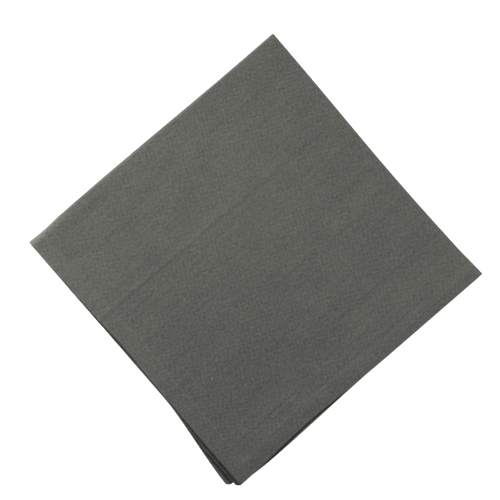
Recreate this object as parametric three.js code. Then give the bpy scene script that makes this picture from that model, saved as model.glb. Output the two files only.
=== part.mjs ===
// A square cotton table napkin, folded in half twice and lying flat, as one solid: a sheet whose
// four layers run back and forth. X and Y lie along the sides of the folded square, Z points up.
// The single folds are at the +X side, the fold round all the layers is at the +Y side, and the
// hemmed edges are free at -X and -Y, where the layers don't quite lie on each other.
import * as THREE from "three";

// Driving dimensions, in millimetres.
const HALF_SIDE = 125; // of the folded square
const CLOTH = 1.0; // thickness of a layer between the hems
const HEM = 1.3; // thickness of the turned-in hem
const HEM_WIDTH = 13.2;
const HEM_STEP = 1.0; // width over which the hem ends
const GAP = 0.35; // air between two layers
const RAMP_START = 16; // the stack is hem-high this far in from its free edges
const RAMP_END = 36; // and has come down to the plain layers here
const HEM_RISE = 0.25; // how far the hem shows through the top layer
const PUFF = 0.1; // share by which the air inside lifts the middle
const CORNER_REACH = 5; // how far the blunting of a mitred corner is felt
const LIFT_REACH = 95; // how far from the free corner the layers are raised
const WAVE_REACH = 60; // how far in from the free edges their waves run

// A soft crease that runs along X across the top layer and fades towards the fold.
const CREASE = { yAtFree: 44.1, yAtFold: 42.2, height: 0.21, width: 2.4, fade: 0.1, from: 0.4, to: 0.8 };

// The two fold edges. Each lies out from the straight by "out" where the folds meet and by "flare"
// more further on, between the shares "from" and "to" of its length, and it bows by "bow" around
// the share "where".
const FOLD_EDGES = {
  x: { out: -0.4, flare: 0.8, from: 0.88, to: 1.0, bow: -2.1, where: 0.6, spread: 0.36 },
  y: { out: -1.0, flare: 1.9, from: 0.1, to: 0.75, bow: -0.6, where: 0.94, spread: 0.05 },
};

// The layers from the floor up, with their free edges in the same terms, counted from the fold to
// the free corner. "lift" raises the free corner, and "shift" is the share of its flare by which a
// layer slides inside its fold. "wave" is how far the free edges stand off the layer below at the
// crests, which lie at "crest" and every "waveLength" from it, in sides from the free corner.
// "inset" is how far the layer's mitred corner is blunted.
const LAYERS = [
  {
    name: "bottom",
    x: { out: 0.8, flare: 7.2, from: 0.63, to: 0.97, bow: 0, where: 0.5, spread: 0.2 },
    y: { out: -1.2, flare: -4.2, from: 0.45, to: 1.0, bow: 0, where: 0.5, spread: 0.2 },
    lift: 0,
    shift: 0.25,
    inset: 0.1,
    wave: 0,
    crest: 0,
    waveLength: 1,
  },
  {
    name: "third",
    x: { out: 1.0, flare: 6.3, from: 0.64, to: 0.97, bow: 0, where: 0.5, spread: 0.2 },
    y: { out: -1.4, flare: -3.6, from: 0.5, to: 1.0, bow: 0, where: 0.5, spread: 0.2 },
    lift: 0.3,
    shift: 0.25,
    inset: 0.3,
    wave: 0.25,
    crest: -0.62,
    waveLength: 0.75,
  },
  {
    name: "second",
    x: { out: 0.9, flare: 2.0, from: 0.66, to: 0.88, bow: -0.6, where: 0.5, spread: 0.15 },
    y: { out: -0.6, flare: 1.7, from: 0.45, to: 0.85, bow: -0.9, where: 0.96, spread: 0.05 },
    lift: 0.9,
    shift: 0,
    inset: 1.5,
    wave: 0.35,
    crest: -0.15,
    waveLength: 0.6,
  },
  {
    name: "top",
    x: { out: 0.9, flare: -1.2, from: 0, to: 0.2, bow: -1.5, where: 0.45, spread: 0.12 },
    y: { out: -0.5, flare: 0.7, from: 0.8, to: 0.97, bow: -2.1, where: 0.71, spread: 0.17 },
    lift: 1.3,
    shift: 0,
    inset: 0.9,
    wave: 0.4,
    crest: 0.3,
    waveLength: 0.85,
  },
];

// The fold's own sizes, from the sheet's middle surface.
const PITCH = CLOTH + GAP; // from layer to layer
const SINGLE_FOLD_RADIUS = PITCH / 2;
const OUTER_FOLD_RADIUS = PITCH; // of the plane between the two layers that it takes round
const STACK_MIDDLE = OUTER_FOLD_RADIUS + SINGLE_FOLD_RADIUS + CLOTH / 2;

const SIDE = 2 * HALF_SIDE;
const SINGLE_FOLD_STEPS = 6;
const OUTER_FOLD_STEPS = 8;
const PLAIN_STEPS = 12; // between the hem and the fold
const STEP_GROWTH = 1.25; // above 1, those steps grow towards the fold
const CREASE_STEPS = [-5, -2, 0, 2, 5]; // places across the crease, in millimetres from its top

const smooth = THREE.MathUtils.smoothstep;
const mix = THREE.MathUtils.lerp;
const bell = (distance, spread) => Math.exp(-((distance / spread) ** 2));

// How far an edge lies out from the straight at a share of its length.
function edgeOut(edge, share) {
  const flare = edge.flare * smooth(share, edge.from, edge.to);
  return edge.out + flare + edge.bow * bell(share - edge.where, edge.spread);
}

// Places across the flat part of a layer, as distances from its free edge.
function distancesToFold(length, extra) {
  const places = [0, HEM_WIDTH / 2, HEM_WIDTH - HEM_STEP / 2, HEM_WIDTH + HEM_STEP / 2];
  for (let i = 0; i <= PLAIN_STEPS; i++) {
    places.push(mix(RAMP_START, length, (i / PLAIN_STEPS) ** STEP_GROWTH));
  }
  places.push(...extra);
  return places.sort((a, b) => a - b);
}

// The sheet's line in one direction: along the upper layer from its free edge, round the fold and
// back along the lower layer. "turn" is 0 on the upper layer and pi on the lower one.
function foldedLine(outerRadius, steps, extra) {
  const bendCentre = HALF_SIDE - outerRadius;
  const flat = distancesToFold(bendCentre + HALF_SIDE, extra);
  const upper = flat.map((distance) => ({ at: distance - HALF_SIDE, turn: 0 }));
  const lower = flat.map((distance) => ({ at: distance - HALF_SIDE, turn: Math.PI })).reverse();
  const bend = [];
  for (let i = 1; i < steps; i++) {
    bend.push({ at: bendCentre, turn: (Math.PI * i) / steps });
  }
  return [...upper, ...bend, ...lower];
}

// The sheet as folded with sharp hands: offset is the distance out from its middle surface.
function foldedPoint(alongX, alongY, offset) {
  const singleRadius = SINGLE_FOLD_RADIUS + offset;
  const x = alongX.at + singleRadius * Math.sin(alongX.turn);
  const outerRadius = OUTER_FOLD_RADIUS + singleRadius * Math.cos(alongX.turn);
  const y = alongY.at + outerRadius * Math.sin(alongY.turn);
  const z = STACK_MIDDLE + outerRadius * Math.cos(alongY.turn);
  return new THREE.Vector3(x, y, z);
}

// How far a point of one layer slides in the plane.
function layerSlide(layer, x, y) {
  const fromXFold = (HALF_SIDE - x) / SIDE;
  const fromYFold = (HALF_SIDE - y) / SIDE;
  const outX = edgeOut(layer.x, fromYFold);
  const outY = edgeOut(layer.y, fromXFold);
  const carried = layer.shift * (outX - layer.x.out) * (1 - fromXFold);
  const corner = bell(Math.hypot(HALF_SIDE + x, HALF_SIDE + y), CORNER_REACH) * layer.inset;
  return {
    x: -outX * fromXFold - carried + edgeOut(FOLD_EDGES.x, fromYFold) * (1 - fromXFold) + corner,
    y: -outY * fromYFold + edgeOut(FOLD_EDGES.y, fromXFold) * (1 - fromYFold) + corner,
  };
}

// The slide at any height: the same through a layer, and running over to the next in between.
function slide(point) {
  const below = THREE.MathUtils.clamp(Math.floor(point.z / PITCH), 0, LAYERS.length - 1);
  const above = Math.min(below + 1, LAYERS.length - 1);
  const share = THREE.MathUtils.clamp((point.z - below * PITCH - CLOTH) / GAP, 0, 1);
  const low = layerSlide(LAYERS[below], point.x, point.y);
  const high = layerSlide(LAYERS[above], point.x, point.y);
  return {
    x: point.x + mix(low.x, high.x, share),
    y: point.y + mix(low.y, high.y, share),
  };
}

// Thickness of a layer at a place in the plane.
function layerThickness(x, y) {
  const inward = Math.min(x + HALF_SIDE, y + HALF_SIDE);
  const hem = 1 - smooth(inward, HEM_WIDTH - HEM_STEP / 2, HEM_WIDTH + HEM_STEP / 2);
  return mix(CLOTH, HEM, hem);
}

// Height of two layers together, with the air between them, at a place in the plane.
function pairHeight(x, y) {
  const inward = Math.min(x + HALF_SIDE, y + HALF_SIDE);
  return 2 * mix(HEM, CLOTH, smooth(inward, RAMP_START, RAMP_END)) + GAP;
}

// How much the air inside lifts the stack, most of it in the middle.
function puff(x, y) {
  const middle = Math.cos((x / SIDE) * Math.PI) * Math.cos((y / SIDE) * Math.PI);
  return 1 + PUFF * Math.max(middle, 0);
}

// Height of the crease in the top layer.
function creaseHeight(x, y) {
  const fromFree = (x + HALF_SIDE) / SIDE;
  const line = mix(CREASE.yAtFree, CREASE.yAtFold, fromFree);
  const kept = 1 - CREASE.fade * smooth(fromFree, CREASE.from, CREASE.to);
  return CREASE.height * kept * bell(y - line, CREASE.width);
}

// How far a layer is raised off the one below, over the air that lies between all of them.
function layerLift(layer, x, y) {
  const fromCorner = Math.hypot(x + HALF_SIDE, y + HALF_SIDE);
  const inward = Math.min(x + HALF_SIDE, y + HALF_SIDE);
  const alongEdges = (x - y) / SIDE;
  const swell = 0.5 + 0.5 * Math.cos((2 * Math.PI * (alongEdges - layer.crest)) / layer.waveLength);
  const wave = layer.wave * swell * (1 - smooth(inward, 0, WAVE_REACH));
  return layer.lift * (1 - smooth(fromCorner, 0, LIFT_REACH)) + wave;
}

// The heights between which each layer lies, from the floor up.
function layerHeights(flat, placed) {
  const thick = layerThickness(flat.x, flat.y);
  const pair = pairHeight(placed.x, placed.y);
  const lift = LAYERS.map((layer) => layerLift(layer, placed.x, placed.y));
  const thirdTop = pair + lift[1];
  const secondUnder = thirdTop + GAP + lift[2];
  const shows = HEM_RISE * (thick - CLOTH) / (HEM - CLOTH);
  const top = secondUnder + pair + lift[3] + shows + creaseHeight(placed.x, placed.y);
  return [0, thick, thirdTop - thick, thirdTop, secondUnder, secondUnder + thick, top - thick, top];
}

// The same boundaries in the sheet as folded with sharp hands.
const PLAIN_HEIGHTS = LAYERS.flatMap((_, i) => [i * PITCH, i * PITCH + CLOTH]);

// Brings a point of the sharply folded sheet to where it lies in the napkin.
function place(point) {
  const placed = slide(point);
  const heights = layerHeights(point, placed);
  const last = PLAIN_HEIGHTS.length - 2;
  let i = 0;
  while (i < last && point.z > PLAIN_HEIGHTS[i + 1]) i++;
  const share = (point.z - PLAIN_HEIGHTS[i]) / (PLAIN_HEIGHTS[i + 1] - PLAIN_HEIGHTS[i]);
  const z = mix(heights[i], heights[i + 1], share) * puff(placed.x, placed.y);
  return new THREE.Vector3(placed.x, placed.y, z);
}

// The closed sheet: a grid of points on each face, joined round the four hemmed edges.
function napkinGeometry() {
  const creaseDistance = HALF_SIDE + (CREASE.yAtFree + CREASE.yAtFold) / 2;
  const creaseSteps = CREASE_STEPS.map((step) => creaseDistance + step);
  const lineX = foldedLine(SINGLE_FOLD_RADIUS + CLOTH / 2, SINGLE_FOLD_STEPS, []);
  const lineY = foldedLine(STACK_MIDDLE, OUTER_FOLD_STEPS, creaseSteps);
  const columns = lineX.length;
  const rows = lineY.length;

  const positions = [];
  for (const offset of [CLOTH / 2, -CLOTH / 2]) {
    for (const alongX of lineX) {
      for (const alongY of lineY) {
        positions.push(...place(foldedPoint(alongX, alongY, offset)));
      }
    }
  }

  const outer = (i, j) => i * rows + j;
  const inner = (i, j) => (columns + i) * rows + j;
  const indices = [];
  const quad = (a, b, c, d) => indices.push(a, b, c, a, c, d);
  for (let i = 0; i + 1 < columns; i++) {
    for (let j = 0; j + 1 < rows; j++) {
      quad(outer(i, j), outer(i + 1, j), outer(i + 1, j + 1), outer(i, j + 1));
      quad(inner(i, j), inner(i, j + 1), inner(i + 1, j + 1), inner(i + 1, j));
    }
    quad(outer(i, 0), inner(i, 0), inner(i + 1, 0), outer(i + 1, 0));
    quad(outer(i + 1, rows - 1), inner(i + 1, rows - 1), inner(i, rows - 1), outer(i, rows - 1));
  }
  for (let j = 0; j + 1 < rows; j++) {
    quad(outer(0, j + 1), inner(0, j + 1), inner(0, j), outer(0, j));
    quad(outer(columns - 1, j), inner(columns - 1, j), inner(columns - 1, j + 1), outer(columns - 1, j + 1));
  }

  const geometry = new THREE.BufferGeometry();
  geometry.setAttribute("position", new THREE.Float32BufferAttribute(positions, 3));
  geometry.setIndex(indices);
  return geometry;
}

// The napkin stands on the plane z = 0, with its outline centred on the Z axis.
function napkin() {
  const geometry = napkinGeometry();
  geometry.computeBoundingBox();
  const { min, max } = geometry.boundingBox;
  geometry.translate(-(min.x + max.x) / 2, -(min.y + max.y) / 2, -min.z);
  geometry.computeVertexNormals();
  const cloth = new THREE.MeshStandardMaterial({ color: 0x5e5f5a, roughness: 0.95, metalness: 0 });
  const mesh = new THREE.Mesh(geometry, cloth);
  mesh.name = "napkin";
  return mesh;
}

const part = new THREE.Group();
part.add(napkin());

export default part;
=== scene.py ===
# A square cotton table napkin, folded in half twice and lying flat. The cloth is one closed sheet
# whose four layers run back and forth: the single folds are at +X, the fold round all the layers
# is at +Y, and the hemmed edges are free at -X and -Y. The stitches of the hems are a piece of
# their own, and so is a small knot of fibres in the top layer.
import math

import bpy
import numpy as np
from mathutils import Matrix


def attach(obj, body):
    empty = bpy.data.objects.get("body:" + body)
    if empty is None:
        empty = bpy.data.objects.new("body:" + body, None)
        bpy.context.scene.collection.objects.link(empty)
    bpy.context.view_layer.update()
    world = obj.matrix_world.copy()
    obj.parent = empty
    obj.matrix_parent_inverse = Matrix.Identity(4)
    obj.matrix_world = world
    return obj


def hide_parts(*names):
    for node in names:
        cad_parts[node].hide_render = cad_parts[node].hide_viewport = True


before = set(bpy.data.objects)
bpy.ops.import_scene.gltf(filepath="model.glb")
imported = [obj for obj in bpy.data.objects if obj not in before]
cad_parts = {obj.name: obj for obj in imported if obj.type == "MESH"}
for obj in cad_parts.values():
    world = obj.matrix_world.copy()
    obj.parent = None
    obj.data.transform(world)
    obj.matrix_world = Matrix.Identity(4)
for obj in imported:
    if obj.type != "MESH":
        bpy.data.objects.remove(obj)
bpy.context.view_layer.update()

# Driving dimensions, in millimetres.
MM = 0.001
HALF_SIDE = 125.0  # of the folded square
SIDE = 2 * HALF_SIDE
CLOTH = 1.0  # height kept for a layer between the hems
SHEET = 0.6  # the cloth's own thickness there
HEM = 1.3  # three thicknesses of cloth, pressed
HEM_WIDTH = 13.2
HEM_STEP = 0.8  # width over which the hem ends
HEM_ROUND = 0.65  # radius of the hem's folded edge
RIM_START = 0.01  # where the mesh starts on that round edge, as a share of its radius
GAP = 0.35  # air between two layers
RAMP_START = 14.0  # the stack is hem-high this far in from its free edges
RAMP_END = 38.0  # and has come down to the plain layers here
PUFF = 0.1  # share by which the air inside lifts the middle
LIFT_REACH = 95.0  # how far from the free corner the layers are raised
WAVE_REACH = 60.0  # how far in from the free edges their waves run
PINCH = 0.45  # how much thinner each pair of layers is pressed at its single fold
PINCH_WIDTH = 9.0
FOOT = 0.3  # the stitches under the lowest layer keep it this far off the surface
# The outer fold is pressed down towards its edge, most of all near the free edge.
SOFT_END = dict(drop=0.60, elsewhere=0.12, width=5.0, reach=24.0)

PITCH = CLOTH + GAP  # from layer to layer
SINGLE_RADIUS = PITCH / 2
OUTER_RADIUS = PITCH
MIDDLE = OUTER_RADIUS + SINGLE_RADIUS + SHEET / 2
FLAT_X = SIDE - SINGLE_RADIUS - SHEET / 2  # straight length of a layer
FLAT_Y = SIDE - MIDDLE
LENGTH_X = 2 * FLAT_X + math.pi * SINGLE_RADIUS  # of the whole cloth
LENGTH_Y = 2 * FLAT_Y + math.pi * OUTER_RADIUS

# The two fold edges. Each lies out from the straight by "out" where the folds meet and by "flare"
# more further on, between the shares "start" and "end" of its length, and it bows by "bow" around
# the share "where".
FOLD_EDGES = {
    "x": dict(out=-0.4, flare=0.8, start=0.88, end=1.0, bow=-2.1, where=0.6, spread=0.36),
    "y": dict(out=-1.0, flare=1.9, start=0.1, end=0.75, bow=-0.6, where=0.94, spread=0.05),
}

# The layers from the floor up, with their free edges in the same terms, counted from the fold to
# the free corner. "lift" raises the free corner, and "shift" is the share of its flare by which a
# layer slides inside its fold. "wave" is how far the free edges stand off the layer below at the
# crests, which lie at "crest" and every "wave_length" from it, in sides from the free corner.
# "inset" is how far in both directions the layer's mitred corner is blunted, which is felt out to
# twice as far from its tip.
LAYERS = [
    dict(
        x=dict(out=0.8, flare=8.0, start=0.63, end=1.02, bow=0, where=0.5, spread=0.2),
        y=dict(out=-1.2, flare=-3.9, start=0.45, end=1.0, bow=0, where=0.5, spread=0.2),
        lift=0, shift=0.25, inset=1.1, wave=0, crest=0, wave_length=1,
    ),
    dict(
        x=dict(out=0.9, flare=6.8, start=0.64, end=1.02, bow=0, where=0.5, spread=0.2),
        y=dict(out=-1.4, flare=-3.4, start=0.5, end=1.0, bow=0, where=0.5, spread=0.2),
        lift=0.3, shift=0.25, inset=1.1, wave=0.25, crest=-0.62, wave_length=0.75,
    ),
    dict(
        x=dict(out=0.9, flare=2.0, start=0.66, end=0.88, bow=-0.6, where=0.5, spread=0.15),
        y=dict(out=-0.6, flare=1.7, start=0.45, end=0.85, bow=-0.9, where=0.96, spread=0.05),
        lift=0.9, shift=0, inset=1.4, wave=0.35, crest=-0.15, wave_length=0.6,
    ),
    dict(
        x=dict(out=0.9, flare=-1.2, start=0, end=0.2, bow=-1.5, where=0.45, spread=0.12),
        y=dict(out=-0.5, flare=0.7, start=0.8, end=0.97, bow=-1.9, where=0.71, spread=0.17),
        lift=1.3, shift=0, inset=0.9, wave=0.4, crest=0.3, wave_length=0.85,
    ),
]
# The lower and upper side of each layer as the plain fold leaves them, before layer_heights.
PLAIN_HEIGHTS = np.array([i * PITCH + side for i in range(len(LAYERS)) for side in (0, SHEET)])

# The crease that runs along X across the top layer and fades towards the fold: a ridge with a
# shallow dip beside it.
CREASE = dict(y_free=44.2, y_fold=42.2, height=0.27, width=2.1, fade=0.45, start=0.25, end=0.48)
CREASE_DIP = dict(beside=3.6, depth=0.05, width=1.6)

# Faint pressed marks along X in the top layer: a step down towards -Y from "x_from" to "x_to".
MARKS = [
    dict(y=-7.0, x_from=56, x_to=124, drop=0.72, width=9.0),
    dict(y=-7.0, x_from=4, x_to=40, drop=0.32, width=7.0),
]
MARK_FADE = 12.0  # over which a mark begins and ends
MARK_RETURN = 14.0  # over which the surface comes up again beyond it

# Broad swells of the top layer: height, wave lengths along X and Y, and phase in turns.
SWELLS = [
    dict(height=0.10, along_x=190.0, along_y=83.0, phase=0.15),
    dict(height=0.07, along_x=-120.0, along_y=57.0, phase=0.62),
    dict(height=0.05, along_x=66.0, along_y=-41.0, phase=0.33),
    dict(height=0.03, along_x=47.0, along_y=31.0, phase=0.81),
]

# Puckers along the top layer's hem at -X.
PUCKERS = [
    dict(y=113.0, height=0.30, spread=5.0),
    dict(y=95.0, height=0.36, spread=6.0),
    dict(y=62.0, height=0.40, spread=8.0),
    dict(y=14.0, height=0.10, spread=9.0),
]
PUCKER_REACH = 9.0  # how far in from the hem's edge they run

# The hem as it shows on the top layer.
HEM_RISE = 0.15  # height of the hem band above the cloth inside it
# Its inner edge, from the height of the hem down to the cloth: sharp at -X near the free corner,
# and softer past "start" and at -Y.
HEM_RIDGE = dict(height=0.12, width=1.5, start=-30.0, end=30.0)
HEM_SOFT = dict(height=0.06, width=3.2, step=2.6)
HEM_TURN = 4.0  # how near the mitre the sharp edge begins to run over into the soft one
TURN_RIDGE = dict(at=7.2, height=0.05, width=1.3)  # where the turned-in edge ends, inside the hem
MITRE_RIDGE = dict(height=0.14, width=0.8, fade=1.0)
HEM_TILT = dict(drop=0.10, width=8.0)  # of the outer part of the hem at -Y
SEAM = dict(at=11.3, depth=0.02, width=0.6)  # the sewn line, from the hem's edge

# Distances from a free edge at which the mesh has its lines: close together round the folded edge
# and at the hem's inner edge, and even from PLAIN_START to the fold.
HEM_LINES = [
    0, 0.05, 0.14, 0.28, 0.46, 0.65, 1.1, 1.9, 3.0, 4.2, 5.4, 6.3, 7.2, 8.1, 9.2, 10.1, 10.5,
    10.8, 11.1, 11.5, 11.9, 12.3, 12.6, 12.9, 13.2, 13.7, 14.4, 15.4,
]
PLAIN_START = 17.0
CLOSEST_LINES = 0.02  # a line that is nearer than this to the last one is left out
UPPER_LINES = 84  # even ones on an upper layer
LOWER_LINES = 44  # and on a lower one, which is hidden
SINGLE_FOLD_STEPS = 10
OUTER_FOLD_STEPS = 16
CREASE_LINES = np.arange(-7, 7.1, 0.7)  # across the crease, from its top

# A stitch, and the rings of points along it, as shares of its half length and of its half width.
STITCH = dict(pitch=2.9, length=2.35, width=0.42, height=0.18, sunk=0.03)
STITCH_RINGS = [(-1.0, 0.3), (-0.75, 0.8), (0.0, 1.0), (0.75, 0.8), (1.0, 0.3)]
STITCH_SIDES = 6

# The knot of fibres in the cloth: its place from the free edges and its size.
NEP = dict(x=37.4, y=75.6, length=1.0, width=1.3, height=0.4, sunk=0.08)

# Colours, linear. A tone of 0.5 is the colour itself, and 0 and 1 are darker and lighter by TINT.
CLOTH_COLOUR = (0.134, 0.136, 0.1205)
THREAD_COLOUR = (0.148, 0.150, 0.134)
NEP_COLOUR = (0.30, 0.30, 0.27)
PLAIN_TONE = 0.5
TINT = 0.5

# The plain weave. Its threads wander by a share of their pitch, with so many bends per metre.
THREAD_PITCH = 0.72
WEAVE_TONE = 0.55
WANDER = dict(share=0.25, warp=90.0, weft=80.0, detail=1.0)

# Yarns thicken and thin along their length, and the cloth is cloudy: cells of noise per metre
# along X and Y, and the amount that they add to the tone.
YARNS = [
    dict(along_x=9.0, along_y=420.0, detail=1.0, amount=0.14),
    dict(along_x=28.0, along_y=330.0, detail=3.0, amount=0.23),
    dict(along_x=290.0, along_y=880.0, detail=2.0, amount=0.68),
    dict(along_x=880.0, along_y=290.0, detail=2.0, amount=0.65),
    dict(along_x=950.0, along_y=950.0, detail=1.0, amount=0.72),
]
CLOUD = dict(along_x=55.0, along_y=55.0, detail=3.0, amount=0.22)

# The paler band of the hems, whose part outside "turn" is less pale at -Y. The hems' rounded
# edges carry a painted highlight where they catch the light, the edges at -X more so from "start"
# to "end" and on, and the folds are rubbed paler.
HEM_PALE = dict(width=14.4, turn=7.2, outer_share=0.3, amount=0.105)
HEM_PALE_SOFT = dict(x=1.6, y=1.2, turn=0.6)  # half the width over which the band fades
HEM_BEYOND = 2.0  # the band reaches this far past the edge, so that it doesn't fade there
EDGE_HIGHLIGHT = dict(reach=1.6, amount=0.10)
FREE_EDGE_HIGHLIGHT = dict(reach=2.4, start=75, end=105, amount=0.20)
FOLD_RUB = dict(single=3.0, outer=5.0, amount=0.05)

# Painted shade: the cloth is painted darker round the free corner, towards the corner of the folds
# and along the outer fold.
CORNER_PAINTED_SHADE = dict(reach=250, amount=-0.155)
FOLDS_PAINTED_SHADE = dict(x_start=150, x_end=250, y_start=110, y_end=190, amount=-0.055)
OUTER_FOLD_PAINTED_SHADE = dict(y_start=190, y_end=250, amount=-0.05)

# Places painted a little darker as shade or paler as light: the middle and the reach of each place
# on the flat cloth.
PAINTED_SHADE_AND_LIGHT = [
    dict(x=12, y=45, reach_x=60, reach_y=110, amount=-0.035),
    dict(x=245, y=120, reach_x=70, reach_y=210, amount=-0.045),
    dict(x=12, y=245, reach_x=45, reach_y=45, amount=-0.03),
    dict(x=40, y=236, reach_x=26, reach_y=16, amount=-0.05),
    dict(x=120, y=150, reach_x=110, reach_y=60, amount=0.036),
    dict(x=15, y=13, reach_x=7, reach_y=5, amount=0.16),
]
# Lines painted darker as the shade of small pressed creases, in the same terms.
PAINTED_CREASE_SHADE = [
    dict(x=49, y=131.0, reach_x=60, reach_y=1.6, amount=-0.16),
    dict(x=207, y=221.8, reach_x=70, reach_y=1.5, amount=-0.13),
    dict(x=139, y=55.8, reach_x=45, reach_y=1.5, amount=-0.13),
    dict(x=195, y=47.3, reach_x=90, reach_y=1.6, amount=-0.16),
    dict(x=57, y=24.5, reach_x=50, reach_y=1.6, amount=-0.17),
]

# Relief of the surfaces: shares of what makes it, its strength and its depth in metres.
CLOTH_BUMP = dict(weave=0.5, yarns=1.2, strength=0.8, depth=0.00012)
THREAD_BUMP = dict(strength=0.15, depth=0.00005)
# The sewing thread's twist and fibres, per metre, and what they add to its tone.
TWIST = dict(scale=900.0, distortion=0.5, amount=0.2)
FIBRES = dict(scale=500.0, amount=0.3)
THREAD_TONE = 0.25

CLOTH_FINISH = {
    "Roughness": 0.9,
    "Specular IOR Level": 0.2,
    "Sheen Weight": 0.15,
    "Sheen Roughness": 0.5,
}
THREAD_FINISH = {"Roughness": 0.75, "Specular IOR Level": 0.3}
FLOOR_FINISH = {
    "Base Color": (0.9, 0.9, 0.9, 1),
    "Roughness": 0.9,
    "Emission Color": (1, 1, 1, 1),
    "Emission Strength": 1.05,
}

# The camera, the floor and the lights, in metres, degrees and watts.
FLOOR_SIZE = 9.0
CAMERA_HEIGHT = 1.3
CAMERA_TURN = 40.94
CAMERA_OFF_CENTRE = (0.24, 7.96)  # from the middle of the folded square, in millimetres
SENSOR_WIDTH = 36.0  # in millimetres
PICTURE_WIDTH = 0.3884  # of what the picture takes in, at the cloth's top
CLOTH_TOP = 0.0055
LIGHTS = [
    dict(name="key", location=(2.0, 1.5, 1.9), size=0.7, power=84.5),
    dict(name="back", location=(-0.2, 0.6, 0.17), size=0.25, power=3.3),
    dict(name="front", location=(1.0, -1.5, 0.4), size=0.5, power=10.5),
    dict(name="top", location=(0.3, -0.1, 1.6), size=1.0, power=0.8),
]
STUDIO_GLOW = 0.015  # light from all round


def smooth(value, low, high):
    t = np.clip((value - low) / (high - low), 0, 1)
    return t * t * (3 - 2 * t)


def mix(a, b, t):
    return a + (b - a) * t


def bell(distance, spread):
    return np.exp(-((distance / spread) ** 2))


def edge_out(edge, share):
    """How far an edge lies out from the straight at a share of its length."""
    flare = edge["flare"] * smooth(share, edge["start"], edge["end"])
    return edge["out"] + flare + edge["bow"] * bell(share - edge["where"], edge["spread"])


def along(distance, length, flat, radius):
    """Where a distance along the cloth lies: its straight coordinate, its turn round the fold and
    its distance from the nearer free edge."""
    turn = np.clip((distance - flat) / radius, 0, math.pi)
    inward = np.minimum(distance, length - distance)
    return np.minimum(inward, flat) - HALF_SIDE, turn, inward


def layer_slide(layer, x, y):
    """How far a point of one layer slides in the plane."""
    from_x_fold = (HALF_SIDE - x) / SIDE
    from_y_fold = (HALF_SIDE - y) / SIDE
    out_x = edge_out(layer["x"], from_y_fold)
    out_y = edge_out(layer["y"], from_x_fold)
    carried = layer["shift"] * (out_x - layer["x"]["out"]) * (1 - from_x_fold)
    corner = np.maximum(layer["inset"] - np.hypot(HALF_SIDE + x, HALF_SIDE + y) / 2, 0)
    fold_x = edge_out(FOLD_EDGES["x"], from_y_fold) * (1 - from_x_fold)
    fold_y = edge_out(FOLD_EDGES["y"], from_x_fold) * (1 - from_y_fold)
    return -out_x * from_x_fold - carried + fold_x + corner, -out_y * from_y_fold + fold_y + corner


def slide(x, y, z):
    """The slide at any height: the same through a layer, and running over to the next between."""
    below = np.clip(np.floor(z / PITCH), 0, len(LAYERS) - 1).astype(int)
    share = np.clip((z - below * PITCH - SHEET) / (PITCH - SHEET), 0, 1)
    slides = np.array([layer_slide(layer, x, y) for layer in LAYERS])
    above = np.minimum(below + 1, len(LAYERS) - 1)
    rows = np.arange(len(z))
    return mix(slides[below, :, rows], slides[above, :, rows], share[:, None]).T


def layer_lift(layer, x, y):
    """How far a layer is raised off the one below, over the air between all of them."""
    from_corner = np.hypot(x + HALF_SIDE, y + HALF_SIDE)
    inward = np.minimum(x, y) + HALF_SIDE
    swell = 0.5 + 0.5 * np.cos(math.tau * ((x - y) / SIDE - layer["crest"]) / layer["wave_length"])
    wave = layer["wave"] * swell * (1 - smooth(inward, 0, WAVE_REACH))
    return layer["lift"] * (1 - smooth(from_corner, 0, LIFT_REACH)) + wave


def crease_relief(x, y):
    from_free = (x + HALF_SIDE) / SIDE
    line = mix(CREASE["y_free"], CREASE["y_fold"], from_free)
    kept = 1 - CREASE["fade"] * smooth(from_free, CREASE["start"], CREASE["end"])
    ridge = CREASE["height"] * bell(y - line, CREASE["width"])
    dip = CREASE_DIP["depth"] * bell(y - line + CREASE_DIP["beside"], CREASE_DIP["width"])
    return kept * (ridge - dip)


def mark_relief(mark, x, y):
    """A step down towards -Y that comes up again further on."""
    length = smooth(x, mark["x_from"], mark["x_from"] + MARK_FADE)
    length = length * (1 - smooth(x, mark["x_to"] - MARK_FADE, mark["x_to"]))
    down = 1 - smooth(y, mark["y"] - mark["width"] / 2, mark["y"] + mark["width"] / 2)
    back = smooth(y, mark["y"] - mark["width"] / 2 - MARK_RETURN, mark["y"] - mark["width"] / 2)
    return -mark["drop"] * length * down * back


def hem_relief(y, inward_x, inward_y):
    """The hem band with its inner edge, the ridge and the sewn line inside it, and its mitre."""
    inward = np.minimum(inward_x, inward_y)
    sharp = smooth(inward_y - inward_x, -HEM_TURN, HEM_TURN)
    sharp = sharp * (1 - smooth(y, HEM_RIDGE["start"], HEM_RIDGE["end"]))
    step = mix(HEM_SOFT["step"], HEM_STEP, sharp)
    relief = HEM_RISE * (1 - smooth(inward - HEM_WIDTH, -step, step))
    ridge = bell(inward - HEM_WIDTH, mix(HEM_SOFT["width"], HEM_RIDGE["width"], sharp))
    relief = relief + mix(HEM_SOFT["height"], HEM_RIDGE["height"], sharp) * ridge
    relief = relief + TURN_RIDGE["height"] * bell(inward - TURN_RIDGE["at"], TURN_RIDGE["width"])
    relief = relief - SEAM["depth"] * bell(inward - SEAM["at"], SEAM["width"])
    relief = relief - HEM_TILT["drop"] * (1 - smooth(inward_y, 0, HEM_TILT["width"]))
    mitre = bell((inward_x - inward_y) / math.sqrt(2), MITRE_RIDGE["width"])
    both = np.maximum(inward_x, inward_y) - HEM_WIDTH
    on_both = 1 - smooth(both, -MITRE_RIDGE["fade"], MITRE_RIDGE["fade"])
    return relief + MITRE_RIDGE["height"] * mitre * on_both


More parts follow.
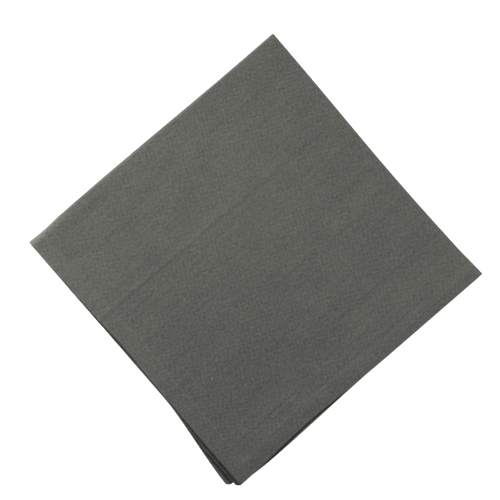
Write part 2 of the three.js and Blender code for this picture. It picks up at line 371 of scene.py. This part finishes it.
def top_relief(x, y, inward_x, inward_y):
    """Height of the top layer's own folds, swells and hem lines."""
    relief = crease_relief(x, y) + hem_relief(y, inward_x, inward_y)
    for mark in MARKS:
        relief = relief + mark_relief(mark, x, y)
    for swell in SWELLS:
        turns = x / swell["along_x"] + y / swell["along_y"] + swell["phase"]
        relief = relief + swell["height"] * np.sin(math.tau * turns)
    for pucker in PUCKERS:
        rise = pucker["height"] * bell(y - pucker["y"], pucker["spread"])
        relief = relief + rise * (1 - smooth(inward_x, 0, PUCKER_REACH))
    return relief


def squeeze(x, y):
    """The air inside lifts the middle, and the outer fold is pressed down towards its edge."""
    middle = np.cos(x / SIDE * math.pi) * np.cos(y / SIDE * math.pi)
    edge = np.clip(1 - (HALF_SIDE - y) / SOFT_END["width"], 0, 1) ** 2
    drop = mix(SOFT_END["elsewhere"], SOFT_END["drop"], bell(x + HALF_SIDE, SOFT_END["reach"]))
    return (1 + PUFF * np.maximum(middle, 0)) * (1 - drop * edge)


def layer_heights(inward_x, inward_y, x, y):
    """The heights between which each layer lies, from the floor up."""
    inward = np.minimum(inward_x, inward_y)
    hem = 1 - smooth(inward, HEM_WIDTH - HEM_STEP / 2, HEM_WIDTH + HEM_STEP / 2)
    full = mix(SHEET, HEM, hem)
    rim = np.sqrt(1 - (1 - np.clip(inward / HEM_ROUND, RIM_START, 1)) ** 2)
    cut = full * (1 - rim) / 2
    placed_inward = np.minimum(x, y) + HALF_SIDE
    pair = 2 * mix(HEM, CLOTH, smooth(placed_inward, RAMP_START, RAMP_END)) + GAP
    pair = pair - PINCH * smooth(x, HALF_SIDE - PINCH_WIDTH, HALF_SIDE)
    lift = [layer_lift(layer, x, y) for layer in LAYERS]
    third_top = pair + lift[1]
    second_under = third_top + GAP + lift[2]
    top = second_under + pair + lift[3] + top_relief(x, y, inward_x, inward_y)
    heights = [0 * full + FOOT, full + FOOT, third_top - full, third_top]
    heights += [second_under, second_under + full, top - full, top]
    return np.array([h - cut if i % 2 else h + cut for i, h in enumerate(heights)])


def place(cloth_x, cloth_y, offset):
    """Where a point of the cloth lies, in millimetres, before the napkin is centred. The offset is
    its distance out from the cloth's middle surface, and past the surface it follows the normal."""
    at_x, turn_x, inward_x = along(cloth_x, LENGTH_X, FLAT_X, SINGLE_RADIUS)
    at_y, turn_y, inward_y = along(cloth_y, LENGTH_Y, FLAT_Y, OUTER_RADIUS)
    within = np.clip(offset, -SHEET / 2, SHEET / 2)
    single = SINGLE_RADIUS + within
    x = at_x + single * np.sin(turn_x)
    outer = OUTER_RADIUS + single * np.cos(turn_x)
    y = at_y + outer * np.sin(turn_y)
    z = MIDDLE + outer * np.cos(turn_y)

    slide_x, slide_y = slide(x, y, z)
    x = x + slide_x
    y = y + slide_y
    heights = layer_heights(inward_x, inward_y, x, y)
    part = np.clip(np.searchsorted(PLAIN_HEIGHTS, z, side="left") - 1, 0, len(PLAIN_HEIGHTS) - 2)
    share = (z - PLAIN_HEIGHTS[part]) / (PLAIN_HEIGHTS[part + 1] - PLAIN_HEIGHTS[part])
    columns = np.arange(len(z))
    z = mix(heights[part, columns], heights[part + 1, columns], share) * squeeze(x, y)

    beyond = offset - within
    x = x + beyond * np.sin(turn_x)
    y = y + beyond * np.cos(turn_x) * np.sin(turn_y)
    z = z + beyond * np.cos(turn_x) * np.cos(turn_y)
    return np.stack([x, y, z], axis=1)


def steps_across(length, count, extra=()):
    """Distances from a free edge to the fold: close together over the hem, then even."""
    even = np.linspace(PLAIN_START, length, count)
    places = np.array(sorted([*HEM_LINES, *even, *extra]))
    keep = np.concatenate([[True], np.diff(places) > CLOSEST_LINES])
    return places[keep]


def cloth_lines(flat, radius, length, bend, extra=()):
    """Distances along the cloth at which the mesh has its lines: fine on the upper layer."""
    upper = steps_across(flat, UPPER_LINES, extra)
    lower = length - steps_across(flat, LOWER_LINES)[::-1]
    turn = flat + radius * np.linspace(0, math.pi, bend + 1)[1:-1]
    return np.concatenate([upper, turn, lower])


def new_object(name, points, faces, material):
    """A piece of the napkin, from points in millimetres."""
    mesh = bpy.data.meshes.new(name)
    mesh.from_pydata((points * MM).tolist(), [], faces)
    mesh.materials.append(material)
    mesh.shade_smooth()
    mesh.update()
    piece = bpy.data.objects.new(name, mesh)
    bpy.context.scene.collection.objects.link(piece)
    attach(piece, "root")
    return piece


def set_cloth_map(piece, coordinates):
    """Keeps the place on the flat cloth, in metres, for the weave to follow."""
    layer = piece.data.uv_layers.new(name="cloth")
    vertex = np.empty(len(piece.data.loops), dtype=int)
    piece.data.loops.foreach_get("vertex_index", vertex)
    layer.data.foreach_set("uv", (coordinates * MM)[vertex].ravel())


def grid_faces(columns, rows):
    """Faces of the closed sheet: its two sides, joined round the four hemmed edges."""
    def outer(i, j):
        return i * rows + j

    def inner(i, j):
        return (columns + i) * rows + j

    faces = []
    for i in range(columns - 1):
        for j in range(rows - 1):
            faces.append((outer(i, j), outer(i + 1, j), outer(i + 1, j + 1), outer(i, j + 1)))
            faces.append((inner(i, j), inner(i, j + 1), inner(i + 1, j + 1), inner(i + 1, j)))
        last = rows - 1
        faces.append((outer(i, 0), inner(i, 0), inner(i + 1, 0), outer(i + 1, 0)))
        faces.append((outer(i + 1, last), inner(i + 1, last), inner(i, last), outer(i, last)))
    last = columns - 1
    for j in range(rows - 1):
        faces.append((outer(0, j + 1), inner(0, j + 1), inner(0, j), outer(0, j)))
        faces.append((outer(last, j), inner(last, j), inner(last, j + 1), outer(last, j + 1)))
    return faces


def make_cloth(material):
    """The folded sheet, and the shift that centres the napkin."""
    crease = HALF_SIDE + (CREASE["y_free"] + CREASE["y_fold"]) / 2
    lines_x = cloth_lines(FLAT_X, SINGLE_RADIUS, LENGTH_X, SINGLE_FOLD_STEPS)
    lines_y = cloth_lines(FLAT_Y, OUTER_RADIUS, LENGTH_Y, OUTER_FOLD_STEPS, crease + CREASE_LINES)
    grid_x, grid_y = np.meshgrid(lines_x, lines_y, indexing="ij")
    flat_x, flat_y = grid_x.ravel(), grid_y.ravel()
    side = np.full(len(flat_x), SHEET / 2)
    points = np.concatenate([place(flat_x, flat_y, side), place(flat_x, flat_y, -side)])
    centre = (points.min(axis=0) + points.max(axis=0)) / 2
    shift = np.array([-centre[0], -centre[1], 0.0])
    faces = grid_faces(len(lines_x), len(lines_y))
    cloth = new_object("napkin_cloth", points + shift, faces, material)
    set_cloth_map(cloth, np.tile(np.stack([flat_x, flat_y], axis=1), (2, 1)))
    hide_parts("napkin")
    return cloth, shift


def stitch_faces():
    """Faces of one stitch: its sides and its two ends."""
    count = len(STITCH_RINGS)
    faces = [tuple(range(STITCH_SIDES))[::-1]]
    for ring in range(count - 1):
        for k in range(STITCH_SIDES):
            a = ring * STITCH_SIDES + k
            b = ring * STITCH_SIDES + (k + 1) % STITCH_SIDES
            faces.append((a, b, b + STITCH_SIDES, a + STITCH_SIDES))
    faces.append(tuple(range((count - 1) * STITCH_SIDES, count * STITCH_SIDES)))
    return faces


def stitch_shape(size):
    """Points of one stitch: along it, across it and up, from its middle."""
    shape = []
    for along_share, across_share in STITCH_RINGS:
        for k in range(STITCH_SIDES):
            angle = math.tau * k / STITCH_SIDES
            across = across_share * math.cos(angle) * size["width"] / 2
            up = across_share * math.sin(angle) * size["height"] / 2
            shape.append((along_share * size["length"] / 2, across, up))
    return np.array(shape)


def make_stitches(material, shift):
    """A row of stitches on both sides of the cloth along each of its four hems."""
    shape = stitch_shape(STITCH)
    faces_one = stitch_faces()
    points, faces = [], []
    for run_x in (True, False):
        length, other = (LENGTH_X, LENGTH_Y) if run_x else (LENGTH_Y, LENGTH_X)
        first = SEAM["at"] + STITCH["pitch"] / 2
        for at in np.arange(first, length - SEAM["at"], STITCH["pitch"]):
            for row in (SEAM["at"], other - SEAM["at"]):
                for side in (1, -1):
                    surface = side * (SHEET / 2 + STITCH["height"] / 2 - STITCH["sunk"])
                    run = at + shape[:, 0]
                    across = row + shape[:, 1] * (1 if run_x else -1)
                    offset = surface + shape[:, 2]
                    cloth = (run, across) if run_x else (across, run)
                    start = len(points) * len(shape)
                    points.append(place(*cloth, offset))
                    faces += [tuple(start + v for v in face) for face in faces_one]
    return new_object("hem_stitches", np.concatenate(points) + shift, faces, material)


def make_nep(material, shift):
    """A pale knot of fibres spun into the cloth of the top layer, in the form of a stitch."""
    shape = stitch_shape(NEP)
    offset = SHEET / 2 + NEP["height"] / 2 - NEP["sunk"] + shape[:, 2]
    points = place(NEP["x"] + shape[:, 0], NEP["y"] + shape[:, 1], offset)
    return new_object("nep", points + shift, stitch_faces(), material)


class Graph:
    """Short forms for building a material's nodes. Positions on the cloth are in metres, as the
    mesh keeps them, and the distances that the forms are given are in millimetres."""

    def __init__(self, name):
        self.material = bpy.data.materials.new(name)
        self.material.use_nodes = True
        self.tree = self.material.node_tree
        self.shader = self.tree.nodes["Principled BSDF"]

    def node(self, kind, inputs=None, **settings):
        node = self.tree.nodes.new(kind)
        for key, value in settings.items():
            setattr(node, key, value)
        for key, value in (inputs or {}).items():
            self.feed(node.inputs[key], value)
        return node

    def feed(self, socket, value):
        if isinstance(value, bpy.types.NodeSocket):
            self.tree.links.new(value, socket)
        else:
            socket.default_value = value

    def math(self, operation, a, b=0.0):
        return self.node("ShaderNodeMath", {0: a, 1: b}, operation=operation).outputs[0]

    def times(self, value, factor):
        return self.math("MULTIPLY", value, factor)

    def total(self, *values):
        result = values[0]
        for value in values[1:]:
            result = self.math("ADD", result, value)
        return result

    def noise(self, position, along_x, along_y, detail, amount):
        """Noise about zero, times its amount, with so many cells per metre along X and Y."""
        cells = {0: position, 1: (along_x, along_y, 1.0)}
        stretched = self.node("ShaderNodeVectorMath", cells, operation="MULTIPLY").outputs[0]
        inputs = {"Vector": stretched, "Scale": 1.0, "Detail": detail}
        value = self.node("ShaderNodeTexNoise", inputs, noise_dimensions="2D").outputs["Fac"]
        return self.times(self.math("SUBTRACT", value, 0.5), amount)

    def ramp(self, value, low, high, start, end):
        """Goes smoothly from start to end while the value, in metres, goes from low to high."""
        inputs = {"Value": value, "From Min": low, "From Max": high, "To Min": start, "To Max": end}
        node = self.node("ShaderNodeMapRange", inputs, interpolation_type="SMOOTHSTEP")
        return node.outputs["Result"]

    def distance(self, value, at):
        return self.math("ABSOLUTE", self.math("SUBTRACT", value, at * MM))

    def near(self, value, at, reach):
        """1 at a place and 0 beyond its reach."""
        return self.ramp(self.distance(value, at), 0.0, reach * MM, 1.0, 0.0)

    def within(self, value, low, high, soft):
        """1 between two places, with soft ends."""
        half = (high - low) / 2
        distance = self.distance(value, (low + high) / 2)
        return self.ramp(distance, (half - soft) * MM, (half + soft) * MM, 1.0, 0.0)

    def rise(self, value, low, high):
        """From 0 to 1 between two places."""
        return self.ramp(value, low * MM, high * MM, 0.0, 1.0)

    def edge_distance(self, position, length):
        """Distance from the nearer of two opposite edges of the flat cloth."""
        return self.math("MINIMUM", position, self.math("SUBTRACT", length * MM, position))

    def colour(self, colour, tone):
        """Feeds the shader the colour, made darker or lighter by its tone."""
        node = self.node("ShaderNodeMix", data_type="RGBA", clamp_factor=True)
        self.feed(node.inputs["Factor"], tone)
        self.feed(node.inputs["A"], (*[c * (1 - TINT) for c in colour], 1.0))
        self.feed(node.inputs["B"], (*[c * (1 + TINT) for c in colour], 1.0))
        self.feed(self.shader.inputs["Base Color"], node.outputs["Result"])

    def bump(self, height, strength, depth):
        inputs = {"Height": height, "Strength": strength, "Distance": depth}
        node = self.node("ShaderNodeBump", inputs)
        self.feed(self.shader.inputs["Normal"], node.outputs["Normal"])

    def finish(self, values):
        """Sets what is the same all over on the shader's own sockets."""
        for key, value in values.items():
            self.shader.inputs[key].default_value = value


def thread_wave(graph, on_cloth, position, bends):
    """Over and under the threads of one direction."""
    pitch = THREAD_PITCH * MM
    wander = graph.noise(on_cloth, bends, bends, WANDER["detail"], WANDER["share"] * pitch)
    return graph.math("SINE", graph.times(graph.total(position, wander), math.pi / pitch))


def hem_pale_and_edge_highlight(graph, across, down):
    """The hem bands are paler, and the hems' rounded edges carry a painted highlight."""
    hem_x = graph.edge_distance(across, LENGTH_X)
    hem_y = graph.edge_distance(down, LENGTH_Y)
    width, turn = HEM_PALE["width"], HEM_PALE["turn"]
    band_x = graph.within(hem_x, -HEM_BEYOND, width, HEM_PALE_SOFT["x"])
    band_y = graph.within(hem_y, turn, width, HEM_PALE_SOFT["y"])
    outer_y = graph.within(hem_y, -HEM_BEYOND, turn, HEM_PALE_SOFT["turn"])
    outer_y = graph.times(outer_y, HEM_PALE["outer_share"])
    band = graph.math("MAXIMUM", band_x, graph.math("MAXIMUM", band_y, outer_y))
    # Painted highlight along the hems' rounded edges, stronger at -X further from the free corner.
    edge = graph.near(graph.math("MINIMUM", hem_x, hem_y), 0.0, EDGE_HIGHLIGHT["reach"])
    further_on = graph.rise(down, FREE_EDGE_HIGHLIGHT["start"], FREE_EDGE_HIGHLIGHT["end"])
    free_edge_highlight = graph.times(graph.near(hem_x, 0.0, FREE_EDGE_HIGHLIGHT["reach"]), further_on)
    return graph.total(
        graph.times(band, HEM_PALE["amount"]),
        graph.times(edge, EDGE_HIGHLIGHT["amount"]),
        graph.times(free_edge_highlight, FREE_EDGE_HIGHLIGHT["amount"]),
    )


def fold_wear_and_painted_shade(graph, across, down):
    """The folds are rubbed paler, and the cloth towards them is painted a little darker as shade.
    """
    single = graph.near(across, LENGTH_X / 2, FOLD_RUB["single"])
    outer = graph.near(down, LENGTH_Y / 2, FOLD_RUB["outer"])
    rubbed = graph.math("MAXIMUM", single, outer)
    # Painted shade towards the corner of the folds and beside the outer fold.
    towards_x = graph.rise(across, FOLDS_PAINTED_SHADE["x_start"], FOLDS_PAINTED_SHADE["x_end"])
    towards_y = graph.rise(down, FOLDS_PAINTED_SHADE["y_start"], FOLDS_PAINTED_SHADE["y_end"])
    beside_outer = graph.rise(down, OUTER_FOLD_PAINTED_SHADE["y_start"], OUTER_FOLD_PAINTED_SHADE["y_end"])
    return graph.total(
        graph.times(rubbed, FOLD_RUB["amount"]),
        graph.times(graph.times(towards_x, towards_y), FOLDS_PAINTED_SHADE["amount"]),
        graph.times(beside_outer, OUTER_FOLD_PAINTED_SHADE["amount"]),
    )


def painted_patch(graph, patch, across, down):
    """One place painted darker or paler than the cloth round it, as shade or as light."""
    beside = graph.near(across, patch["x"], patch["reach_x"])
    inside = graph.times(beside, graph.near(down, patch["y"], patch["reach_y"]))
    return graph.times(inside, patch["amount"])


def corner_painted_shade(graph, on_cloth):
    """Painted shade: the cloth is darker round the free corner."""
    far = graph.node("ShaderNodeVectorMath", {0: on_cloth}, operation="LENGTH").outputs["Value"]
    return graph.times(graph.near(far, 0.0, CORNER_PAINTED_SHADE["reach"]), CORNER_PAINTED_SHADE["amount"])


def cloth_material():
    """Plain weave of uneven yarns, a little worn, with painted shade and highlights."""
    graph = Graph("cotton_cloth")
    on_cloth = graph.node("ShaderNodeUVMap", uv_map="cloth").outputs["UV"]
    split = graph.node("ShaderNodeSeparateXYZ", {0: on_cloth})
    across, down = split.outputs["X"], split.outputs["Y"]

    warp = thread_wave(graph, on_cloth, across, WANDER["warp"])
    weft = thread_wave(graph, on_cloth, down, WANDER["weft"])
    weave = graph.times(warp, weft)
    yarns = graph.total(*[graph.noise(on_cloth, **yarn) for yarn in YARNS])

    tones = [PLAIN_TONE, yarns, graph.noise(on_cloth, **CLOUD), graph.times(weave, WEAVE_TONE)]
    # Paler hem bands with a painted highlight on their rounded edges, and the folds' wear with
    # painted shade beside them.
    tones += [hem_pale_and_edge_highlight(graph, across, down), fold_wear_and_painted_shade(graph, across, down)]
    # Painted shade round the free corner.
    tones += [corner_painted_shade(graph, on_cloth)]
    # Painted shade and light in places, and painted shade along small creases.
    tones += [painted_patch(graph, patch, across, down) for patch in [*PAINTED_SHADE_AND_LIGHT, *PAINTED_CREASE_SHADE]]
    graph.colour(CLOTH_COLOUR, graph.total(*tones))

    weave_height = graph.times(weave, CLOTH_BUMP["weave"])
    height = graph.total(weave_height, graph.times(yarns, CLOTH_BUMP["yarns"]))
    graph.bump(height, CLOTH_BUMP["strength"], CLOTH_BUMP["depth"])
    graph.finish(CLOTH_FINISH)
    return graph.material


def thread_material(name, colour):
    """Twisted fibres."""
    graph = Graph(name)
    position = graph.node("ShaderNodeTexCoord").outputs["Object"]
    inputs = {"Vector": position, "Scale": TWIST["scale"], "Distortion": TWIST["distortion"]}
    twist = graph.node("ShaderNodeTexWave", inputs, bands_direction="DIAGONAL").outputs["Fac"]
    inputs = {"Vector": position, "Scale": FIBRES["scale"]}
    fibres = graph.node("ShaderNodeTexNoise", inputs).outputs["Fac"]
    twist_tone = graph.times(twist, TWIST["amount"])
    tone = graph.total(THREAD_TONE, twist_tone, graph.times(fibres, FIBRES["amount"]))
    graph.colour(colour, tone)
    graph.bump(twist, THREAD_BUMP["strength"], THREAD_BUMP["depth"])
    graph.finish(THREAD_FINISH)
    return graph.material


def make_camera(shift):
    """Straight above, turned so that the free corner is at the bottom of the picture."""
    data = bpy.data.cameras.new("camera")
    camera = bpy.data.objects.new("camera", data)
    bpy.context.scene.collection.objects.link(camera)
    centre_x = (CAMERA_OFF_CENTRE[0] + shift[0]) * MM
    centre_y = (CAMERA_OFF_CENTRE[1] + shift[1]) * MM
    camera.location = (centre_x, centre_y, CAMERA_HEIGHT)
    camera.rotation_euler = (0, 0, -math.radians(CAMERA_TURN))
    data.sensor_width = SENSOR_WIDTH
    data.lens = SENSOR_WIDTH * (CAMERA_HEIGHT - CLOTH_TOP) / PICTURE_WIDTH
    bpy.context.scene.camera = camera


def make_floor():
    """A plain floor that glows a little, so that it is nearly white."""
    bpy.ops.mesh.primitive_plane_add(size=FLOOR_SIZE, location=(0, 0, 0))
    floor = bpy.context.object
    floor.name = "floor"
    graph = Graph("pale_floor")
    graph.finish(FLOOR_FINISH)
    floor.data.materials.append(graph.material)


def area_light(name, location, size, power):
    """A square light that shines at the napkin's middle."""
    data = bpy.data.lights.new(name, "AREA")
    data.shape = "SQUARE"
    data.size = size
    data.energy = power
    light = bpy.data.objects.new(name, data)
    light.location = location
    direction = -np.array(location)
    flat = math.hypot(direction[0], direction[1])
    tilt = math.atan2(flat, -direction[2])
    light.rotation_euler = (tilt, 0, math.atan2(direction[1], direction[0]) - math.pi / 2)
    bpy.context.scene.collection.objects.link(light)


def make_lights():
    """The studio's four lights, and a faint light from all round."""
    for light in LIGHTS:
        area_light(**light)
    world = bpy.data.worlds.new("studio")
    world.use_nodes = True
    world.node_tree.nodes["Background"].inputs["Color"].default_value = (1, 1, 1, 1)
    world.node_tree.nodes["Background"].inputs["Strength"].default_value = STUDIO_GLOW
    bpy.context.scene.world = world


cloth, shift = make_cloth(cloth_material())
stitches = make_stitches(thread_material("sewing_thread", THREAD_COLOUR), shift)
nep = make_nep(thread_material("nep_fibres", NEP_COLOUR), shift)
make_camera(shift)
make_floor()
make_lights()
bpy.context.scene.view_settings.view_transform = "Standard"
